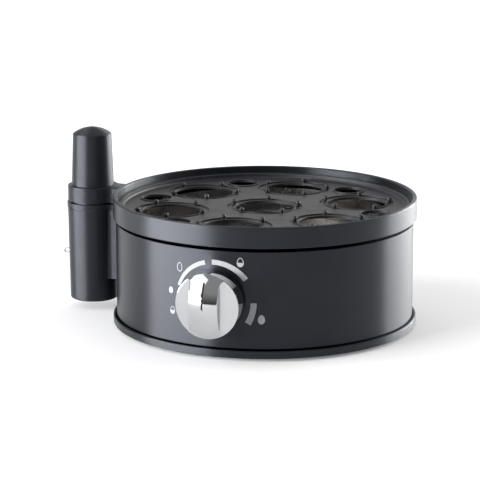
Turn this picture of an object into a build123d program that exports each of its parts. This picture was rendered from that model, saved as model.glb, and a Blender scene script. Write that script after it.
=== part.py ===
from build123d import *
import os
from math import asin, cos, radians, sin, sqrt

# Electric egg cooker: a round drum with a dial knob, a lift-out egg tray over a heated
# water pan, and an egg piercer that stands in a holster at the side.
# Millimetres, +Z up. The origin is on the drum's axis at table level.
# The dial faces -Y, the holster stands at -X and the mains inlet is at +Y.

# Clearances that serve every piece
overrun = 1.0
fit_gap = 0.15
thread_gap = 0.05
running_gap = 0.05
lift_gap = 0.4
seat_gap = 0.2

# Drum
drum_height = 72.7
shell_radius = 85.0
shell_wall = 0.8
foot_proud = 1.5
base_overhang = 2.0
base_flange_height = 4.3
base_floor = 2.5
base_edge_round = 0.5
base_seam = 0.9
spigot_wall = 2.0
base_spigot_height = 10.0
seam_step = 0.45

# Foot ring under the base
foot_setback = 3.0
foot_width = 8.0
foot_groove_depth = 1.2
foot_edge_round = 0.4

# Vents in the base
vent_count = 12
vent_circle = 34.0
vent_length = 16.0
vent_width = 3.0

# Screws that draw the base and the collar together
boss_count = 4
boss_start = 45.0
boss_radius = 4.0
pillar_radius = 5.0
pillar_wall_gap = 0.55
boss_split_height = 18.0
screw_radius = 1.5
screw_head_radius = 3.2
screw_head_height = 2.4
screw_head_gap = 0.3
screw_seat = 4.0
screw_bite = 12.0

# Collar
collar_overhang = 1.7
collar_height = 11.7
collar_seam = 2.3
collar_lip = 2.5
collar_edge_round = 0.7
collar_under_round = 0.4
collar_spigot_depth = 9.7
collar_neck_depth = 1.4
lid_seat_depth = 3.6
lid_step = 1.0
tray_ledge_depth = 1.3
tray_ledge_width = 1.0
pan_flange_drop = 12.7
pan_flange_thickness = 3.5
pan_boss_gap = 0.3

# Water pan, its seal and its studs
seal_height = 1.5
seal_width = 2.0
seal_inset = 0.3
pan_sheet = 1.0
pan_side_gap = 1.0
pan_corner_round = 3.0
pan_rim_gap = 0.5
stud_count = 3
stud_start = 90.0
stud_inset = 4.2
stud_radius = 1.5
stud_length = 9.5
nut_flats = 5.5
nut_height = 2.4

# Egg tray
tray_sheet = 0.9
tray_floor_drop = 3.0
tray_corner_round = 1.2
tray_rim_round = 0.3
seat_ring_count = 6
seat_start = 30.0
seat_margin = 6.4
seat_band_share = 0.053
seat_recess_depth = 0.8
seat_hole_share = 0.2
seat_lip_width = 0.9
seat_lip_height = 0.6
nub_count = 5
nub_inset = 1.5
nub_stem_radius = 1.1
nub_ball_radius = 1.4
nub_ball_height = 1.2
steam_start = 0.0
steam_margin = 6.3
steam_hole_share = 0.1
steam_lip_width = 1.0
steam_lip_height = 0.7
lip_round = 0.25

# Heating element, its spreader plate and the safety parts
spreader_inset = 21.2
spreader_thickness = 5.0
element_inset = 10.0
element_radius = 3.25
element_gap_angle = 60.0
element_gap_at = 120.0
element_bend = 8.0
element_leg = 9.0
tab_width = 6.3
tab_thickness = 0.8
tab_length = 9.0
thermostat_radius = 8.5
thermostat_height = 9.0
thermostat_flange_radius = 11.0
thermostat_flange = 1.5
thermostat_tab_spread = 4.0
thermostat_tab_width = 4.8
thermostat_tab_length = 6.0
strap_length = 40.0
strap_width = 22.0
strap_sheet = 1.0
strap_screw_inset = 5.0
strap_spacer_radius = 3.0
strap_screw_bite = 3.5
fuse_radius = 2.0
fuse_length = 14.0
fuse_offset_share = 0.6
fuse_lead_radius = 0.5
fuse_lead_length = 5.0
fuse_holder_length = 9.0
fuse_holder_width = 8.0
fuse_holder_wall = 1.2

# Regulator behind the dial
knob_height = 30.7
bracket_front_gap = 4.7
bracket_sheet = 1.5
bracket_width = 30.0
bracket_top = 18.0
bracket_foot_length = 20.0
bracket_pad_height = 6.0
bracket_pad_radius = 4.0
bracket_screw_spread = 9.0
bracket_screw_setback = 12.0
regulator_width = 28.0
regulator_head_gap = 0.8
regulator_depth = 21.0
regulator_wall = 3.0
regulator_cavity_radius = 9.5
regulator_cover_sheet = 1.5
regulator_pin_radius = 3.5
regulator_tab_spread = 9.0
regulator_tab_drop = 10.0
bushing_radius = 4.5
bushing_length = 4.0
bushing_nut_flats = 12.0
bushing_nut_height = 2.0
shaft_radius = 3.0
shaft_flat = 2.0
rotor_radius = 8.0
rotor_thickness = 3.0
rotor_play = 0.3

# Dial knob
knob_radius = 18.0
knob_stand_off = 1.0
knob_skirt = 11.3
knob_draft = 0.3
knob_dome = 7.5
knob_wall = 1.6
knob_back_round = 0.4
knob_rim_round = 0.35
bar_width = 16.4
scoop_radius = 4.0
scoop_sink = 0.5
scoop_edge_round = 0.5
pointer_length = 14.0
pointer_width = 1.0
pointer_depth = 0.5
core_hub_radius = 6.5
core_disc = 3.0
core_hub_recess = 0.8
core_bore_end = 1.2
shaft_end_gap = 0.5
shaft_hole_gap = 1.0

# Control board
board_x = 30.0
board_width = 50.0
board_length = 60.0
board_sheet = 1.6
board_post_height = 8.0
board_post_radius = 2.8
board_post_inset = 4.0
board_screw_radius = 1.1
board_screw_head_radius = 2.2
board_screw_head_height = 1.6
board_screw_bite = 6.0
relay_size = (19.0, 15.0, 15.0)
relay_place_shares = (0.16, 0.2)
buzzer_radius = 6.0
buzzer_height = 8.0
buzzer_hole_radius = 1.2
buzzer_hole_depth = 2.0
buzzer_place_shares = (-0.2, -0.27)
capacitor_radius = 5.0
capacitor_height = 12.0
capacitor_edge_round = 0.6
capacitor_place_shares = (0.2, -0.24)
header_size = (8.0, 20.0, 8.0)
header_place_shares = (-0.3, 0.2)

# Mains inlet and terminal block
gland_height = 24.5
gland_bore_radius = 3.4
gland_body_radius = 6.0
gland_flange_radius = 9.0
gland_flange = 3.0
gland_flange_chamfer = 1.0
gland_tail = 13.0
gland_nut_flats = 16.0
gland_nut_height = 3.9
gland_nut_gap = 0.8
block_gap = 9.05
block_size = (24.0, 14.0, 12.0)
block_bore_radius = 2.0
block_pitch_share = 0.33

# Piercer holster and its ring
holster_reach = 21.35
holster_floor_height = 3.7
holster_top_radius = 14.9
holster_draft = 0.85
holster_wall = 1.6
holster_edge_round = 1.4
holster_rim_height = 2.8
holster_rim_proud = 0.25
holster_groove_height = 0.7
holster_groove_depth = 0.6
web_width = 14.8
web_bottom_height = 17.3
web_blend = 5.0
web_end_gap = 0.1
ring_drop = 1.0
ring_inset = 0.25
ring_gap = 1.2
ring_height = 8.8
ring_edge_round = 0.5
ring_wall = 3.0
ring_spigot_wall = 1.1
ring_spigot_depth = 6.0
ring_screw_share = 0.18
ring_screw_head_share = 0.31
ring_pad_share = 0.42
ring_screw_head_height = 2.0
ring_screw_seat = 5.0
ring_screw_bite = 6.0
web_screw_edge = 2.5
web_screw_rise = 7.2
web_screw_top_gap = 4.0
web_screw_radius = 1.1
web_screw_head_radius = 2.2
web_screw_head_height = 1.6
web_screw_bite = 3.0
web_screw_gap = 0.35

# Wire eye on the holster
eye_height = 30.8
eye_wire_radius = 0.45
eye_bend = 1.3
eye_stand_off = 3.1
eye_leg_depth = 1.1

# Egg piercer
grip_step = 0.7
grip_draft = 1.1
grip_height = 30.0
grip_dome = 3.9
grip_edge_round = 0.5
grip_plug_length = 13.0
grip_plug_round = 0.5
carrier_disc_radius = 6.5
carrier_disc = 3.0
carrier_stem_radius = 3.0
carrier_stem_length = 8.0
carrier_nose_radius = 2.0
carrier_nose_length = 9.0
needle_radius = 0.7
needle_length = 32.0
needle_hold = 8.0
needle_tip = 4.0

# Leads inside the drum
lead_radius = 1.0
lead_bend = 6.0

# Heights and radii worked out from the sizes above
base_z = foot_proud
base_radius = shell_radius + base_overhang
floor_z = base_z + base_floor
flange_top_z = base_z + base_flange_height
collar_radius = shell_radius + collar_overhang
collar_top_z = base_z + drum_height
collar_bottom_z = collar_top_z - collar_height
shell_bottom_z = flange_top_z + base_seam
shell_top_z = collar_bottom_z - collar_seam
shell_inner = shell_radius - shell_wall
spigot_radius = shell_inner - fit_gap
spigot_inner = spigot_radius - spigot_wall
shoulder_radius = spigot_radius + seam_step
neck_radius = shell_radius - collar_neck_depth
boss_circle = spigot_inner - pillar_wall_gap - pillar_radius
boss_split_z = floor_z + boss_split_height
screw_seat_z = boss_split_z - screw_seat
foot_outer_radius = boss_circle - screw_head_radius - screw_head_gap - foot_setback
foot_inner_radius = foot_outer_radius - foot_width
lid_radius = collar_radius - collar_lip
lid_seat_z = collar_top_z - lid_seat_depth
ledge_z = lid_seat_z - tray_ledge_depth
ledge_outer = lid_radius - lid_step
ledge_inner = ledge_outer - tray_ledge_width
knob_z = base_z + knob_height
pan_flange_z = collar_top_z - pan_flange_drop
pan_flange_under_z = pan_flange_z - pan_flange_thickness
pan_opening_radius = boss_circle - boss_radius - pan_boss_gap
pan_rim_z = pan_flange_z + seal_height
pan_radius = pan_opening_radius - pan_side_gap
pan_under_z = knob_z + regulator_width / 2 + regulator_head_gap
pan_floor_z = pan_under_z + pan_sheet
stud_circle = ledge_inner - stud_inset
spreader_radius = pan_radius - spreader_inset
element_circle = spreader_radius - element_inset
fuse_offset = fuse_offset_share * element_circle
shaft_hole_radius = shaft_radius + shaft_hole_gap
gland_z = base_z + gland_height
gland_seat = shell_radius + thread_gap
gland_inner_end = gland_seat - gland_tail
block_y = gland_inner_end - block_gap - block_size[1] / 2
block_pitch = block_pitch_share * block_size[0]
collar_spigot_z = shell_top_z - collar_spigot_depth
web_end = shell_radius + web_end_gap
arm_end = collar_radius + web_end_gap
holster_offset = shell_radius + holster_reach
holster_x = -holster_offset
holster_bottom_z = base_z + holster_floor_height
holster_bottom_radius = holster_top_radius - holster_draft
web_bottom_z = base_z + web_bottom_height
web_screw_spread = web_width / 2 - web_screw_edge
web_screw_heights = (web_bottom_height + web_screw_rise, collar_spigot_z - web_screw_top_gap - base_z)
ring_top_z = collar_top_z - ring_drop
ring_bottom_z = ring_top_z - ring_height
holster_top_z = ring_bottom_z - ring_gap
ring_radius = holster_top_radius - ring_inset
ring_bore_radius = ring_radius - ring_wall
ring_spigot_radius = ring_bore_radius + ring_spigot_wall
bore_top_radius = ring_spigot_radius + fit_gap
ring_land = holster_offset - bore_top_radius - arm_end
ring_screw_x = -(arm_end + ring_land / 2)
ring_screw_radius = ring_screw_share * ring_land
ring_screw_head_radius = ring_screw_head_share * ring_land
ring_pad_radius = ring_pad_share * ring_land
grip_base_radius = ring_bore_radius + grip_step
grip_top_radius = grip_base_radius - grip_draft
section = Plane.XZ


# Base pan with its spigot, screw pillars, pads, posts and vents
board_posts = [
    (board_x + sx * (board_width / 2 - board_post_inset), sy * (board_length / 2 - board_post_inset))
    for sx in (-1, 1)
    for sy in (-1, 1)
]
board_z = floor_z + board_post_height
board_top_z = board_z + board_sheet
bracket_face_y = -(shell_inner - bracket_front_gap)
bracket_back_y = bracket_face_y + bracket_sheet
bracket_screw_places = [
    (sx * bracket_screw_spread, bracket_back_y + bracket_screw_setback) for sx in (-1, 1)
]
bracket_foot_z = floor_z + bracket_pad_height

with BuildPart() as base_pan:
    with BuildSketch(section) as base_section:
        with BuildLine():
            Polyline(
                (0, base_z),
                (base_radius, base_z),
                (base_radius, flange_top_z),
                (shoulder_radius, flange_top_z),
                (shoulder_radius, shell_bottom_z),
                (spigot_radius, shell_bottom_z),
                (spigot_radius, flange_top_z + base_spigot_height),
                (spigot_inner, flange_top_z + base_spigot_height),
                (spigot_inner, floor_z),
                (0, floor_z),
                close=True,
            )
        make_face()
        fillet(base_section.vertices().group_by(Axis.X)[-1], radius=base_edge_round)
    revolve(axis=Axis.Z)
    with BuildSketch(Plane.XY.offset(base_z)):
        Circle(foot_outer_radius + fit_gap)
        Circle(foot_inner_radius - fit_gap, mode=Mode.SUBTRACT)
    extrude(amount=foot_groove_depth, mode=Mode.SUBTRACT)
    with BuildSketch(Plane.XY.offset(base_z)):
        with PolarLocations(vent_circle, vent_count):
            SlotOverall(vent_length, vent_width)
    extrude(amount=base_floor, mode=Mode.SUBTRACT)
    with BuildSketch(Plane.XY.offset(floor_z)):
        with PolarLocations(boss_circle, boss_count, start_angle=boss_start):
            Circle(pillar_radius)
    extrude(amount=boss_split_height)
    with BuildSketch(Plane.XY.offset(floor_z)):
        with Locations(*bracket_screw_places):
            Circle(bracket_pad_radius)
    extrude(amount=bracket_pad_height)
    with BuildSketch(Plane.XY.offset(floor_z)):
        with Locations(*board_posts):
            Circle(board_post_radius)
    extrude(amount=board_post_height)
    with BuildSketch(Plane.XY.offset(base_z)):
        with PolarLocations(boss_circle, boss_count, start_angle=boss_start):
            Circle(screw_head_radius + screw_head_gap)
    extrude(amount=screw_seat_z - base_z, mode=Mode.SUBTRACT)
    with BuildSketch(Plane.XY.offset(screw_seat_z)):
        with PolarLocations(boss_circle, boss_count, start_angle=boss_start):
            Circle(screw_radius + fit_gap)
    extrude(amount=screw_seat, mode=Mode.SUBTRACT)
    with BuildSketch(Plane.XY.offset(board_z)):
        with Locations(*board_posts):
            Circle(board_screw_radius + thread_gap)
    extrude(amount=-board_screw_bite, mode=Mode.SUBTRACT)
    with BuildSketch(Plane.XY.offset(bracket_foot_z)):
        with Locations(*bracket_screw_places):
            Circle(board_screw_radius + thread_gap)
    extrude(amount=-board_screw_bite, mode=Mode.SUBTRACT)

# Rubber foot ring
with BuildPart() as foot_ring:
    with BuildSketch(section) as foot_section:
        with BuildLine():
            Polyline(
                (foot_inner_radius, 0),
                (foot_outer_radius, 0),
                (foot_outer_radius, base_z + foot_groove_depth),
                (foot_inner_radius, base_z + foot_groove_depth),
                close=True,
            )
        make_face()
        fillet(foot_section.vertices().group_by(Axis.Y)[0], radius=foot_edge_round)
    revolve(axis=Axis.Z)

# Screws that run up through the base pillars into the collar bosses
with BuildPart() as base_screws:
    with BuildSketch(Plane.XY.offset(screw_seat_z - screw_head_height)):
        with PolarLocations(boss_circle, boss_count, start_angle=boss_start):
            Circle(screw_head_radius)
    extrude(amount=screw_head_height)
    with BuildSketch(Plane.XY.offset(screw_seat_z)):
        with PolarLocations(boss_circle, boss_count, start_angle=boss_start):
            Circle(screw_radius)
    extrude(amount=screw_seat + screw_bite)

# Painted steel shell, open at the dial shaft, the mains inlet and the holster screws
dial_plane = Plane(origin=(0, 0, knob_z), x_dir=(1, 0, 0), z_dir=(0, -1, 0))
inlet_plane = Plane(origin=(0, 0, gland_z), x_dir=(-1, 0, 0), z_dir=(0, 1, 0))
side_plane = Plane(origin=(0, 0, base_z), x_dir=(0, -1, 0), z_dir=(-1, 0, 0))
web_screw_places = [(sy * web_screw_spread, h) for sy in (-1, 1) for h in web_screw_heights]

with BuildPart() as outer_shell:
    with BuildSketch(Plane.XY.offset(shell_bottom_z)):
        Circle(shell_radius)
        Circle(shell_inner, mode=Mode.SUBTRACT)
    extrude(amount=shell_top_z - shell_bottom_z)
    with BuildSketch(dial_plane):
        Circle(shaft_hole_radius)
    extrude(amount=shell_radius + overrun, mode=Mode.SUBTRACT)
    with BuildSketch(inlet_plane):
        Circle(gland_body_radius + fit_gap)
    extrude(amount=shell_radius + overrun, mode=Mode.SUBTRACT)
    with BuildSketch(side_plane):
        with Locations(*web_screw_places):
            Circle(web_screw_radius + fit_gap)
    extrude(amount=shell_radius + overrun, mode=Mode.SUBTRACT)

# Collar: lid seat, tray ledge, pan flange, spigot and the four screw bosses
with BuildPart() as top_collar:
    with BuildSketch(section) as collar_section:
        with BuildLine():
            Polyline(
                (pan_opening_radius, pan_flange_under_z),
                (pan_opening_radius, pan_flange_z),
                (ledge_inner, pan_flange_z),
                (ledge_inner, ledge_z),
                (ledge_outer, ledge_z),
                (ledge_outer, lid_seat_z),
                (lid_radius, lid_seat_z),
                (lid_radius, collar_top_z),
                (collar_radius, collar_top_z),
                (collar_radius, collar_bottom_z),
                (neck_radius, collar_bottom_z),
                (neck_radius, shell_top_z),
                (spigot_radius, shell_top_z),
                (spigot_radius, collar_spigot_z),
                (spigot_inner, collar_spigot_z),
                (spigot_inner, pan_flange_under_z),
                close=True,
            )
        make_face()
        fillet(collar_section.vertices().group_by(Axis.Y)[-1], radius=collar_edge_round)
        under_edge = collar_section.vertices().sort_by_distance((collar_radius, collar_bottom_z))[0]
        fillet(under_edge, radius=collar_under_round)
    revolve(axis=Axis.Z)
    with BuildSketch(Plane.XY.offset(boss_split_z)):
        with PolarLocations(boss_circle, boss_count, start_angle=boss_start):
            Circle(boss_radius)
    extrude(amount=pan_flange_under_z - boss_split_z)
    with BuildSketch(Plane.XY.offset(boss_split_z)):
        with PolarLocations(boss_circle, boss_count, start_angle=boss_start):
            Circle(screw_radius + thread_gap)
    extrude(amount=screw_bite + overrun, mode=Mode.SUBTRACT)
    with BuildSketch(Plane.XY.offset(pan_flange_under_z)):
        with PolarLocations(stud_circle, stud_count, start_angle=stud_start):
            Circle(stud_radius + fit_gap)
    extrude(amount=pan_flange_thickness, mode=Mode.SUBTRACT)

# Seal ring between the collar's flange and the pan's rim
with BuildPart() as pan_seal:
    with BuildSketch(Plane.XY.offset(pan_flange_z)):
        Circle(pan_opening_radius + seal_inset + seal_width)
        Circle(pan_opening_radius + seal_inset, mode=Mode.SUBTRACT)
    extrude(amount=seal_height)

# Water pan pressed from sheet, with welded studs under its rim
with BuildPart() as water_pan:
    with BuildSketch(section) as pan_section:
        with BuildLine():
            Polyline(
                (0, pan_under_z),
                (pan_radius, pan_under_z),
                (pan_radius, pan_rim_z),
                (ledge_inner - pan_rim_gap, pan_rim_z),
                (ledge_inner - pan_rim_gap, pan_rim_z + pan_sheet),
                (pan_radius - pan_sheet, pan_rim_z + pan_sheet),
                (pan_radius - pan_sheet, pan_floor_z),
                (0, pan_floor_z),
                close=True,
            )
        make_face()
        outer_corner = pan_section.vertices().sort_by_distance((pan_radius, pan_under_z))[0]
        fillet(outer_corner, radius=pan_corner_round + pan_sheet)
        inner_corner = pan_section.vertices().sort_by_distance((pan_radius - pan_sheet, pan_floor_z))[0]
        fillet(inner_corner, radius=pan_corner_round)
    revolve(axis=Axis.Z)
    with BuildSketch(Plane.XY.offset(pan_rim_z)):
        with PolarLocations(stud_circle, stud_count, start_angle=stud_start):
            Circle(stud_radius)
    extrude(amount=-stud_length)

# Nuts on the pan studs
with BuildPart() as pan_nuts:
    with BuildSketch(Plane.XY.offset(pan_flange_under_z)):
        with PolarLocations(stud_circle, stud_count, start_angle=stud_start):
            RegularPolygon(nut_flats / 2, 6, major_radius=False)
            Circle(stud_radius + thread_gap, mode=Mode.SUBTRACT)
    extrude(amount=-nut_height)

# Egg tray: floor, upturned rim, recessed seats with support nubs, lipped steam holes
tray_rim_z = ledge_z + seat_gap
tray_floor_z = tray_rim_z + tray_sheet - tray_floor_drop
tray_under_z = tray_floor_z - tray_sheet
tray_radius = ledge_inner - lift_gap
tray_rim_radius = ledge_outer - lift_gap / 2
recess_z = tray_floor_z - seat_recess_depth
seat_hole_radius = seat_hole_share * shell_radius
seat_recess_radius = seat_hole_radius + seat_band_share * shell_radius
seat_circle = tray_radius - seat_recess_radius - seat_margin
nub_circle = seat_hole_radius + seat_lip_width + nub_inset
steam_hole_radius = steam_hole_share * shell_radius
steam_circle = tray_radius - steam_hole_radius - steam_lip_width - steam_margin
ring_seats = [
    (seat_start + k * 360 / seat_ring_count, seat_circle) for k in range(seat_ring_count)
]
seat_places = [(r * cos(radians(a)), r * sin(radians(a))) for a, r in ring_seats]
seat_places.append((0, 0))
seat_turns = [a for a, r in ring_seats] + [seat_start]
nub_places = [
    (
        place[0] + nub_circle * cos(radians(turn + k * 360 / nub_count)),
        place[1] + nub_circle * sin(radians(turn + k * 360 / nub_count)),
    )
    for place, turn in zip(seat_places, seat_turns)
    for k in range(nub_count)
]
nub_ball_z = tray_floor_z + nub_ball_height

with BuildPart() as egg_tray:
    with BuildSketch(section) as tray_section:
        with BuildLine():
            Polyline(
                (0, tray_under_z),
                (tray_radius, tray_under_z),
                (tray_radius, tray_rim_z),
                (tray_rim_radius, tray_rim_z),
                (tray_rim_radius, tray_rim_z + tray_sheet),
                (tray_radius - tray_sheet, tray_rim_z + tray_sheet),
                (tray_radius - tray_sheet, tray_floor_z),
                (0, tray_floor_z),
                close=True,
            )
        make_face()
        under_corner = tray_section.vertices().sort_by_distance((tray_radius, tray_under_z))[0]
        fillet(under_corner, radius=tray_corner_round + tray_sheet)
        floor_corner = tray_section.vertices().sort_by_distance((tray_radius - tray_sheet, tray_floor_z))[0]
        fillet(floor_corner, radius=tray_corner_round)
        fillet(tray_section.vertices().group_by(Axis.Y)[-1], radius=tray_rim_round)
    revolve(axis=Axis.Z)
    with BuildSketch(Plane.XY.offset(recess_z - tray_sheet)):
        with Locations(*seat_places):
            Circle(seat_recess_radius + tray_sheet)
    extrude(amount=tray_under_z - recess_z + tray_sheet)
    with BuildSketch(Plane.XY.offset(recess_z)):
        with Locations(*seat_places):
            Circle(seat_recess_radius)
    extrude(amount=seat_recess_depth, mode=Mode.SUBTRACT)
    with BuildSketch(Plane.XY.offset(recess_z)):
        with Locations(*seat_places):
            Circle(seat_hole_radius + seat_lip_width)
    extrude(amount=seat_lip_height)
    with BuildSketch(Plane.XY.offset(tray_floor_z)):
        with PolarLocations(steam_circle, seat_ring_count, start_angle=steam_start):
            Circle(steam_hole_radius + steam_lip_width)
    extrude(amount=steam_lip_height)
    with BuildSketch(Plane.XY.offset(recess_z - tray_sheet)):
        with Locations(*seat_places):
            Circle(seat_hole_radius)
        with PolarLocations(steam_circle, seat_ring_count, start_angle=steam_start):
            Circle(steam_hole_radius)
    extrude(amount=tray_floor_z - recess_z + tray_sheet + steam_lip_height, mode=Mode.SUBTRACT)
    lip_edges = egg_tray.edges().filter_by(GeomType.CIRCLE)
    steam_lips = lip_edges.filter_by_position(
        Axis.Z, tray_floor_z + steam_lip_height - lip_round, tray_floor_z + steam_lip_height + lip_round
    ).filter_by(lambda edge: edge.radius < seat_hole_radius)
    seat_lips = lip_edges.filter_by_position(
        Axis.Z, recess_z + seat_lip_height - thread_gap, recess_z + seat_lip_height + thread_gap
    ).filter_by(lambda edge: edge.radius < seat_recess_radius)
    fillet(steam_lips + seat_lips, radius=lip_round)
    with BuildSketch(Plane.XY.offset(recess_z)):
        with Locations(*nub_places):
            Circle(nub_stem_radius)
    extrude(amount=nub_ball_z - recess_z)
    with Locations(*[(x, y, nub_ball_z) for x, y in nub_places]):
        Sphere(nub_ball_radius)

# Heat spreader under the pan, grooved for the element
spreader_under_z = pan_under_z - spreader_thickness
strap_screw_places = [(sx * (strap_length / 2 - strap_screw_inset), 0) for sx in (-1, 1)]

with BuildPart() as heat_spreader:
    with BuildSketch(Plane.XY.offset(spreader_under_z)):
        Circle(spreader_radius)
    extrude(amount=spreader_thickness)
    with Locations((0, 0, spreader_under_z)):
        Torus(element_circle, element_radius + thread_gap, mode=Mode.SUBTRACT)
    with BuildSketch(Plane.XY.offset(spreader_under_z)):
        with Locations(*strap_screw_places):
            Circle(screw_radius + thread_gap)
    extrude(amount=strap_screw_bite + fit_gap, mode=Mode.SUBTRACT)

# Tubular heating element: an open ring whose two ends turn down
def on_ring(angle, radius, z):
    return Vector(radius * cos(radians(angle)), radius * sin(radians(angle)), z)


ring_start = element_gap_at + element_gap_angle / 2
ring_end = element_gap_at + 360 - element_gap_angle / 2
ring_middle = (ring_start + ring_end) / 2
half_turn = sqrt(2) / 2


def turned_down_end(angle, sense):
    along = Vector(sense * sin(radians(angle)), -sense * cos(radians(angle)), 0)
    ring_point = on_ring(angle, element_circle, spreader_under_z)
    centre = ring_point - Vector(0, 0, element_bend)
    middle = centre + along * (element_bend * half_turn) + Vector(0, 0, element_bend * half_turn)
    corner = centre + along * element_bend
    foot = corner - Vector(0, 0, element_leg)
    return ring_point, middle, corner, foot


start_ring, start_middle, start_corner, start_foot = turned_down_end(ring_start, 1)
end_ring, end_middle, end_corner, end_foot = turned_down_end(ring_end, -1)

with BuildPart() as heating_element:
    with BuildLine() as element_path:
        Line(start_foot, start_corner)
        ThreePointArc(start_corner, start_middle, start_ring)
        ThreePointArc(start_ring, on_ring(ring_middle, element_circle, spreader_under_z), end_ring)
        ThreePointArc(end_ring, end_middle, end_corner)
        Line(end_corner, end_foot)
    with BuildSketch(Plane(origin=start_foot, z_dir=(0, 0, 1))):
        Circle(element_radius)
    sweep(path=element_path.wires()[0])

# Push-on tabs at the element's ends
with BuildPart() as element_tabs:
    with BuildSketch(Plane.XY.offset(start_foot.Z)):
        with Locations((start_foot.X, start_foot.Y), (end_foot.X, end_foot.Y)):
            Rectangle(tab_thickness, tab_width)
    extrude(amount=-tab_length)

# Thermostat capsule against the spreader, with two tabs
with BuildPart() as thermostat:
    with BuildSketch(Plane.XY.offset(spreader_under_z)):
        Circle(thermostat_flange_radius)
    extrude(amount=-thermostat_flange)
    with BuildSketch(Plane.XY.offset(spreader_under_z)):
        Circle(thermostat_radius)
    extrude(amount=-thermostat_height)
    with BuildSketch(Plane.XY.offset(spreader_under_z - thermostat_height)):
        with Locations((-thermostat_tab_spread, 0), (thermostat_tab_spread, 0)):
            Rectangle(tab_thickness, thermostat_tab_width)
    extrude(amount=-thermostat_tab_length)

# Strap that holds the thermostat's flange, and its two screws
strap_z = spreader_under_z - thermostat_flange
with BuildPart() as thermostat_strap:
    with BuildSketch(Plane.XY.offset(strap_z)):
        RectangleRounded(strap_length, strap_width, strap_screw_inset)
        Circle(thermostat_radius + fit_gap, mode=Mode.SUBTRACT)
    extrude(amount=-strap_sheet)
    with BuildSketch(Plane.XY.offset(strap_z)):
        with Locations(*strap_screw_places):
            Circle(strap_spacer_radius)
    extrude(amount=thermostat_flange)
    with BuildSketch(Plane.XY.offset(strap_z - strap_sheet)):
        with Locations(*strap_screw_places):
            Circle(screw_radius + fit_gap)
    extrude(amount=strap_sheet + thermostat_flange, mode=Mode.SUBTRACT)

with BuildPart() as strap_screws:
    with BuildSketch(Plane.XY.offset(strap_z - strap_sheet)):
        with Locations(*strap_screw_places):
            Circle(strap_spacer_radius)
    extrude(amount=-screw_head_height)
    with BuildSketch(Plane.XY.offset(strap_z - strap_sheet)):
        with Locations(*strap_screw_places):
            Circle(screw_radius)
    extrude(amount=strap_sheet + thermostat_flange + strap_screw_bite)

# Thermal fuse in its holder under the spreader
fuse_z = spreader_under_z - fuse_holder_wall - fuse_radius
fuse_plane = Plane(origin=(0, fuse_offset, fuse_z), x_dir=(0, 1, 0), z_dir=(1, 0, 0))

with BuildPart() as thermal_fuse:
    with BuildSketch(fuse_plane):
        Circle(fuse_radius)
    extrude(amount=fuse_length / 2, both=True)
    with BuildSketch(fuse_plane):
        Circle(fuse_lead_radius)
    extrude(amount=fuse_length / 2 + fuse_lead_length, both=True)

with BuildPart() as fuse_holder:
    with BuildSketch(fuse_plane):
        Rectangle(fuse_holder_width, 2 * (fuse_radius + fuse_holder_wall))
        Circle(fuse_radius + thread_gap, mode=Mode.SUBTRACT)
    extrude(amount=fuse_holder_length / 2, both=True)

# Bracket that carries the regulator behind the dial
with BuildPart() as regulator_bracket:
    with BuildSketch(Plane.YZ):
        with BuildLine():
            Polyline(
                (bracket_face_y, bracket_foot_z),
                (bracket_back_y + bracket_foot_length, bracket_foot_z),
                (bracket_back_y + bracket_foot_length, bracket_foot_z + bracket_sheet),
                (bracket_back_y, bracket_foot_z + bracket_sheet),
                (bracket_back_y, knob_z + bracket_top),
                (bracket_face_y, knob_z + bracket_top),
                close=True,
            )
        make_face()
    extrude(amount=bracket_width / 2, both=True)
    with BuildSketch(dial_plane):
        Circle(bushing_radius + fit_gap)
    extrude(amount=-bracket_face_y + overrun, mode=Mode.SUBTRACT)
    with BuildSketch(Plane.XY.offset(bracket_foot_z)):
        with Locations(*bracket_screw_places):
            Circle(board_screw_radius + fit_gap)
    extrude(amount=bracket_sheet, mode=Mode.SUBTRACT)

with BuildPart() as bracket_screws:
    with BuildSketch(Plane.XY.offset(bracket_foot_z + bracket_sheet)):
        with Locations(*bracket_screw_places):
            Circle(board_screw_head_radius)
    extrude(amount=board_screw_head_height)
    with BuildSketch(Plane.XY.offset(bracket_foot_z + bracket_sheet)):
        with Locations(*bracket_screw_places):
            Circle(board_screw_radius)
    extrude(amount=-(bracket_sheet + board_screw_bite - fit_gap))

# Regulator: case with a threaded bushing, rear cover, clamping nut and turning shaft
regulator_front = -bracket_back_y
regulator_back = regulator_front - regulator_depth
cavity_front = regulator_front - regulator_wall
rotor_front = cavity_front - rotor_play
rotor_back = rotor_front - rotor_thickness
knob_back = shell_radius + knob_stand_off
knob_face = knob_back + knob_skirt
core_front = knob_face - knob_wall
bore_end = core_front - core_bore_end
shaft_end = bore_end - shaft_end_gap
flat_start = knob_back + core_hub_recess
regulator_tab_places = [(sx * regulator_tab_spread, -regulator_tab_drop) for sx in (-1, 1)]

with BuildPart() as regulator_case:
    with BuildSketch(dial_plane.offset(regulator_back)):
        Rectangle(regulator_width, regulator_width)
    extrude(amount=regulator_depth)
    with BuildSketch(dial_plane.offset(regulator_front)):
        Circle(bushing_radius)
    extrude(amount=bushing_length)
    with BuildSketch(dial_plane.offset(regulator_back)):
        Circle(regulator_cavity_radius)
    extrude(amount=cavity_front - regulator_back, mode=Mode.SUBTRACT)
    with BuildSketch(dial_plane.offset(cavity_front)):
        Circle(shaft_radius + running_gap)
    extrude(amount=regulator_wall + bushing_length, mode=Mode.SUBTRACT)

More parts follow.
